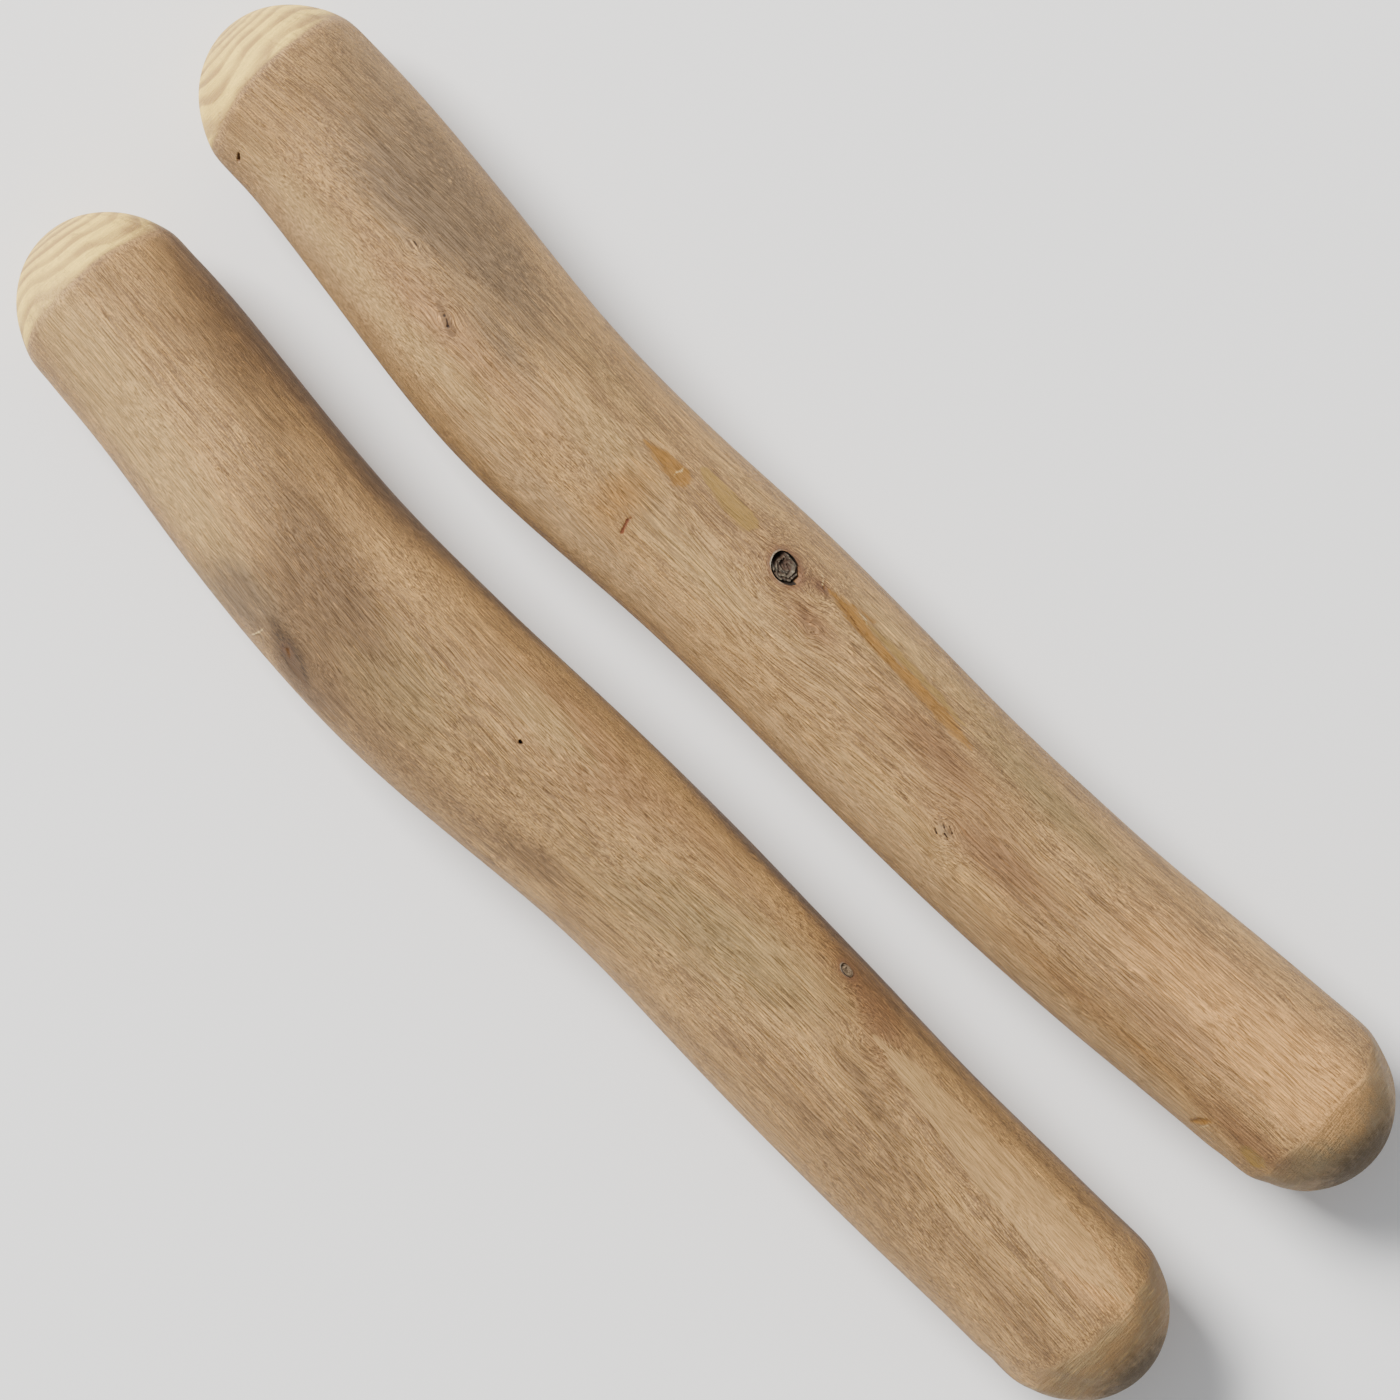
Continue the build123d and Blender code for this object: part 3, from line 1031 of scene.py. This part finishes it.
def wood_material(name, look, seed, bark_and_hole_shade):
    """Sanded, unvarnished branch wood: pores run along the fibres and show as dots on the ends."""
    d = Desk(name)
    grain = d.attribute("grain", vector=True)
    fresh_and_lit = d.attribute("fresh_and_lit")
    end = d.span(d.attribute("end"), d.span(fresh_and_lit, 0, 1, 0.16, 0.25), d.span(fresh_and_lit, 0, 1, 0.29, 0.42))
    broad, band, streak, fibre, line, dash, fleck, speck, patch = (
        d.noise(d.stretch(grain, (along, across, across), (seed, shift, 0)), detail, rough, distortion)
        for along, across, shift, detail, rough, distortion in GRAIN_PATTERNS.values()
    )
    tone = d.total(
        d.span(band, 0.46, 0.54, -0.07, 0.07), d.about(broad, 1.0), d.about(streak, 0.9), d.about(fibre, 1.4),
        d.about(line, 2.5), d.about(speck, 2.0),
    )
    fine = d.total(d.about(fibre, 1.0), d.about(line, 1.6), d.about(speck, 0.7))
    colour = d.mix(d.span(tone, -0.46, 0.46), look.deep[:], look.light[:])

    spacing = look.ring_spacing / MM
    phase = d.math("FRACT", d.math("DIVIDE", d.attribute("ring"), spacing))
    late = d.math("MULTIPLY", d.span(phase, 0.25, 0.75), d.span(phase, 1.0, 0.88))
    colour = d.mix(d.math("MULTIPLY", late, 0.22), colour, look.deep[:])
    # The right ends take the dull end grain and ring line, partly painted shade; the left ends the pale ones.
    ends = d.mix(fresh_and_lit, look.dull_and_shaded[:], look.cream[:])
    late_wood = d.mix(fresh_and_lit, look.ring[:], look.fresh_ring[:])
    stroke = d.attribute("stroke", vector=True)
    strokes = d.noise(d.stretch(stroke, (3.4, 0.30, 0.30), (seed, 15, 0)), 2.0, 0.6, 0.3)
    soft = d.span(fresh_and_lit, 0, 1, 1.0, 0.45)
    cut_end = d.mix(d.math("MULTIPLY", d.span(fibre, 0.30, 0.70, 0.45, 0.0), soft), ends, late_wood)
    scored = d.math("MULTIPLY", d.span(strokes, 0.38, 0.62, 0.55, 0.0), soft)
    cut_end = d.mix(scored, cut_end, d.mix(fresh_and_lit, look.deep[:], look.fresh_ring[:]))
    scratch = d.math("MULTIPLY", d.span(strokes, 0.58, 0.72), d.span(fresh_and_lit, 0, 1, 0.7, 0.2))
    cut_end = d.mix(scratch, cut_end, look.light[:])
    cut_end = d.mix(d.math("MULTIPLY", d.span(patch, 0.40, 0.65, 0.0, 0.35), soft), cut_end, late_wood)
    faint = d.math("MULTIPLY", d.span(fresh_and_lit, 0, 1, 0.5, 0.95), d.span(patch, 0.35, 0.6, 0.65, 1.0))
    cut_end = d.mix(d.math("MULTIPLY", late, faint), cut_end, late_wood)
    colour = d.mix(end, colour, cut_end)

    for kind, paint in ZONE_TONES.items():
        reach = d.total(d.attribute("zone_" + kind), d.about(streak, 0.8), d.about(fibre, 0.5))
        share = d.math("MULTIPLY", d.span(reach, 0.10, 1.0), 0.9)
        shade = tuple(ZONE_SHADE * part for part in paint)
        bright = tuple(ZONE_SHINE * part for part in paint)
        colour = d.mix(share, colour, d.mix(d.span(fine, -0.30, 0.30), shade, bright))

    less = d.span(d.attribute("end"), 0.08, 0.26, 1.0, 0.2)
    pores = d.math("MULTIPLY", less, d.span(d.attribute("open"), 0.0, 1.0, 0.6, 1.0))
    dark_dash = d.math("MULTIPLY", d.span(dash, 0.57, 0.67), pores)
    # Pale flecks: partly paler fibres, partly painted highlight on the lit edges of the pores.
    light_dash_and_highlight = d.math("MULTIPLY", d.span(fleck, 0.57, 0.67), less)
    colour = d.mix(d.math("MULTIPLY", dark_dash, 0.62), colour, PORE_SHADE, "MULTIPLY")
    colour = d.mix(light_dash_and_highlight, colour, FLECK_AND_HIGHLIGHT, "MULTIPLY")

    rough = d.span(streak, 0.2, 0.8, look.roughness - 0.08, look.roughness + 0.1)
    for kind, paint in MARK_TONES.items():
        soaked = kind in ("gum", "resin", "sapwood")
        edge = d.about(line, 1.6 if soaked else 0.5)
        reach = d.total(d.attribute("mark_" + kind), edge, d.about(fibre, 1.4 if soaked else 0.3))
        share = d.span(reach, -0.22 if soaked else -0.05, 0.18 if soaked else 0.08)
        if soaked:
            share = d.math("MULTIPLY", share, d.span(streak, 0.25, 0.6, 0.7, 0.97))
            paint = d.mix(d.span(fibre, 0.35, 0.65), paint, tuple(1.35 * part for part in paint))
        if kind in ("gum", "resin"):
            rough = d.math("SUBTRACT", rough, d.math("MULTIPLY", share, 0.2))
        if kind in ("brown", "sapwood"):
            share = d.math("MULTIPLY", share, 0.7)
        colour = d.mix(share, colour, paint)

    bark = d.total(d.attribute("bark"), d.about(fibre, 0.3))
    colour = d.mix(d.math("MULTIPLY", d.span(bark, 1.1, 0.2), 0.55), colour, KNOT_RING)
    lip = d.math("MULTIPLY", d.attribute("lip"), d.span(bark, 0.24, 0.06))
    colour = d.mix(lip, colour, BARE_LIP)
    # Inside the hole the wood takes the twig's bark colour: partly bark, partly painted shade in the hole.
    colour = d.mix(d.span(bark, 0.03, -0.06), colour, bark_and_hole_shade)

    height = d.total(
        d.math("MULTIPLY", fibre, 0.5), d.math("MULTIPLY", line, 0.5), d.math("MULTIPLY", speck, 0.3),
        d.math("MULTIPLY", light_dash_and_highlight, 0.3), d.math("MULTIPLY", dark_dash, -0.6),
        d.math("MULTIPLY", d.math("MULTIPLY", strokes, end), 1.2),
    )
    d.put(d.shader.inputs["Base Color"], colour)
    d.put(d.shader.inputs["Roughness"], rough)
    d.put(d.shader.inputs["Normal"], d.bump(height, look.relief))
    d.shader.inputs["Specular IOR Level"].default_value = 0.3
    return d.material


def twig_material(name, tones):
    """The dry end of a dead twig: rings of wood with darker cracks between them."""
    d = Desk(name)
    cross = d.attribute("twig", vector=True)
    rim = d.attribute("rim")
    relief = d.attribute("relief")
    fine = d.noise(d.stretch(cross, (6.0, 6.0, 1.5)), 2.0, 0.6)
    wave = d.noise(d.stretch(cross, (2.0, 2.4, 0.6)), 3.0, 0.6, 0.8)
    ring = d.math("FRACT", d.total(d.math("MULTIPLY", rim, 2.6), d.math("MULTIPLY", wave, 2.4)))
    colour = d.mix(d.span(ring, 0.15, 0.90), tones["crack"], tones["wood"])
    colour = d.mix(d.span(fine, 0.54, 0.68, 0.0, 0.85), colour, tones["fleck"])
    # Darker where the twig's end is sunken: partly its dark heart, partly painted shade.
    sunken_dark_and_shade = d.math("MULTIPLY", d.span(relief, 0.3, -1.0), tones["hollow"])
    colour = d.mix(sunken_dark_and_shade, colour, HOLLOW_DARK_AND_SHADE)
    # Near black in the deepest cracks and the shrunk gap: painted shade.
    deepest = d.math("MULTIPLY", d.span(relief, -1.6, -3.2), tones["hollow"])
    colour = d.mix(deepest, colour, HOLLOW_FLOOR_SHADE)
    # Near black round the twig's edge: partly its bark, partly painted shade in the gap round it.
    colour = d.mix(d.span(rim, 0.93, 0.99), colour, tones["bark"])
    d.put(d.shader.inputs["Base Color"], colour)
    d.put(d.shader.inputs["Roughness"], d.span(fine, 0.2, 0.8, 0.7, 0.9))
    d.put(d.shader.inputs["Normal"], d.bump(d.total(ring, fine), 0.00012))
    return d.material


def floor_material(look):
    d = Desk("stage_floor")
    place = d.tree.nodes.new("ShaderNodeTexCoord").outputs["Object"]
    cloud = d.noise(d.stretch(place, (3.0, 3.0, 3.0)), 2.0)
    colour = d.mix(d.span(cloud, 0.2, 0.8, 0.0, 0.03), look.floor[:], (0.8, 0.8, 0.8))
    d.put(d.shader.inputs["Base Color"], colour)
    d.put(d.shader.inputs["Roughness"], d.span(cloud, 0.2, 0.8, 0.85, 0.95))
    d.put(d.shader.inputs["Normal"], d.bump(cloud, 0.0001))
    d.shader.inputs["Specular IOR Level"].default_value = 0.1
    return d.material


# Operators


class CLAVES_OT_held_clave(bpy.types.Operator):
    """Builds the wood of the held clave"""

    bl_idname = "claves.held_clave"
    bl_label = "Held clave"

    def execute(self, context):
        scene = context.scene
        build_clave(
            "held_stick", "held_clave", "held_clave", scene.claves_shape, scene.claves_wood,
            HELD_FIBRE, HELD_KNOTS, HELD_ZONES, HELD_MARKS, DEAD_TWIG, 3.0,
        )
        return {"FINISHED"}


class CLAVES_OT_striker_clave(bpy.types.Operator):
    """Builds the wood of the striker"""

    bl_idname = "claves.striker_clave"
    bl_label = "Striker clave"

    def execute(self, context):
        scene = context.scene
        build_clave(
            "striker_stick", "striker_clave", "striker_clave", scene.claves_shape, scene.claves_wood,
            STRIKER_FIBRE, STRIKER_KNOTS, STRIKER_ZONES, STRIKER_MARKS, PIN_TWIG, 17.0,
        )
        return {"FINISHED"}


class CLAVES_OT_twigs(bpy.types.Operator):
    """Builds the dead twigs that the wood has grown round"""

    bl_idname = "claves.twigs"
    bl_label = "Encased twigs"

    def execute(self, context):
        length = context.scene.claves_shape.dome_length
        build_twig("dead_twig", "held_clave", "dead_knot", Bar("held_clave", length), DEAD_TWIG, 2.0)
        build_twig("pin_twig", "striker_clave", "pin_knot", Bar("striker_clave", length), PIN_TWIG, 8.0)
        return {"FINISHED"}


class CLAVES_OT_stage(bpy.types.Operator):
    """Makes the floor, the lights and the camera"""

    bl_idname = "claves.stage"
    bl_label = "Stage"

    def execute(self, context):
        look = context.scene.claves_stage
        grid = bmesh.new()
        bmesh.ops.create_grid(grid, x_segments=2, y_segments=2, size=look.floor_size / 2)
        mesh = bpy.data.meshes.new("stage_floor")
        grid.to_mesh(mesh)
        grid.free()
        mesh.materials.append(floor_material(look))
        floor = bpy.data.objects.new("stage_floor", mesh)
        context.scene.collection.objects.link(floor)

        lamp = bpy.data.lights.new("soft_lamp", "AREA")
        lamp.energy = look.lamp_power
        lamp.size = look.lamp_size
        lamp.color = (1.0, 0.98, 0.95)
        holder = bpy.data.objects.new("soft_lamp", lamp)
        way = LAMP_WAY.normalized()
        holder.location = way * look.lamp_distance
        holder.rotation_euler = way.to_track_quat("Z", "Y").to_euler()
        context.scene.collection.objects.link(holder)

        world = bpy.data.worlds.new("studio")
        world.use_nodes = True
        background = world.node_tree.nodes["Background"]
        background.inputs["Color"].default_value = (0.95, 0.97, 1.0, 1.0)
        background.inputs["Strength"].default_value = look.sky
        context.scene.world = world

        lens = bpy.data.cameras.new("camera")
        lens.sensor_width = SENSOR
        lens.lens = SENSOR * look.camera_height / look.picture_width
        lens.clip_start, lens.clip_end = 0.01, 10.0
        camera = bpy.data.objects.new("camera", lens)
        low, high = CAD_BOX
        level = (low[2] + high[2]) / 2
        camera.location = (CAMERA_AIM[0] * MM, CAMERA_AIM[1] * MM, level + look.camera_height)
        camera.rotation_euler = (0, 0, look.picture_turn)
        context.scene.collection.objects.link(camera)
        context.scene.camera = camera
        return {"FINISHED"}


class CLAVES_PT_panel(bpy.types.Panel):
    """Lists what the claves are built from"""

    bl_label = "Claves"
    bl_idname = "CLAVES_PT_panel"
    bl_space_type = "VIEW_3D"
    bl_region_type = "UI"
    bl_category = "Claves"

    def draw(self, context):
        for name, kind in GROUPS.items():
            box = self.layout.box()
            for prop in kind.__annotations__:
                box.prop(getattr(context.scene, name), prop)
        for operator in OPERATORS:
            self.layout.operator(operator.bl_idname)


GROUPS = {"claves_shape": SticksShape, "claves_wood": WoodLook, "claves_stage": StageLook}
OPERATORS = (CLAVES_OT_stage, CLAVES_OT_held_clave, CLAVES_OT_striker_clave, CLAVES_OT_twigs)


def register():
    for kind in (*GROUPS.values(), *OPERATORS, CLAVES_PT_panel):
        bpy.utils.register_class(kind)
    for name, kind in GROUPS.items():
        setattr(bpy.types.Scene, name, PointerProperty(type=kind))


def unregister():
    for name in GROUPS:
        delattr(bpy.types.Scene, name)
    for kind in (CLAVES_PT_panel, *reversed(OPERATORS), *reversed(tuple(GROUPS.values()))):
        bpy.utils.unregister_class(kind)


def main():
    register()
    bpy.ops.claves.stage()
    bpy.ops.claves.held_clave()
    bpy.ops.claves.striker_clave()
    bpy.ops.claves.twigs()


if __name__ == "__main__":
    main()
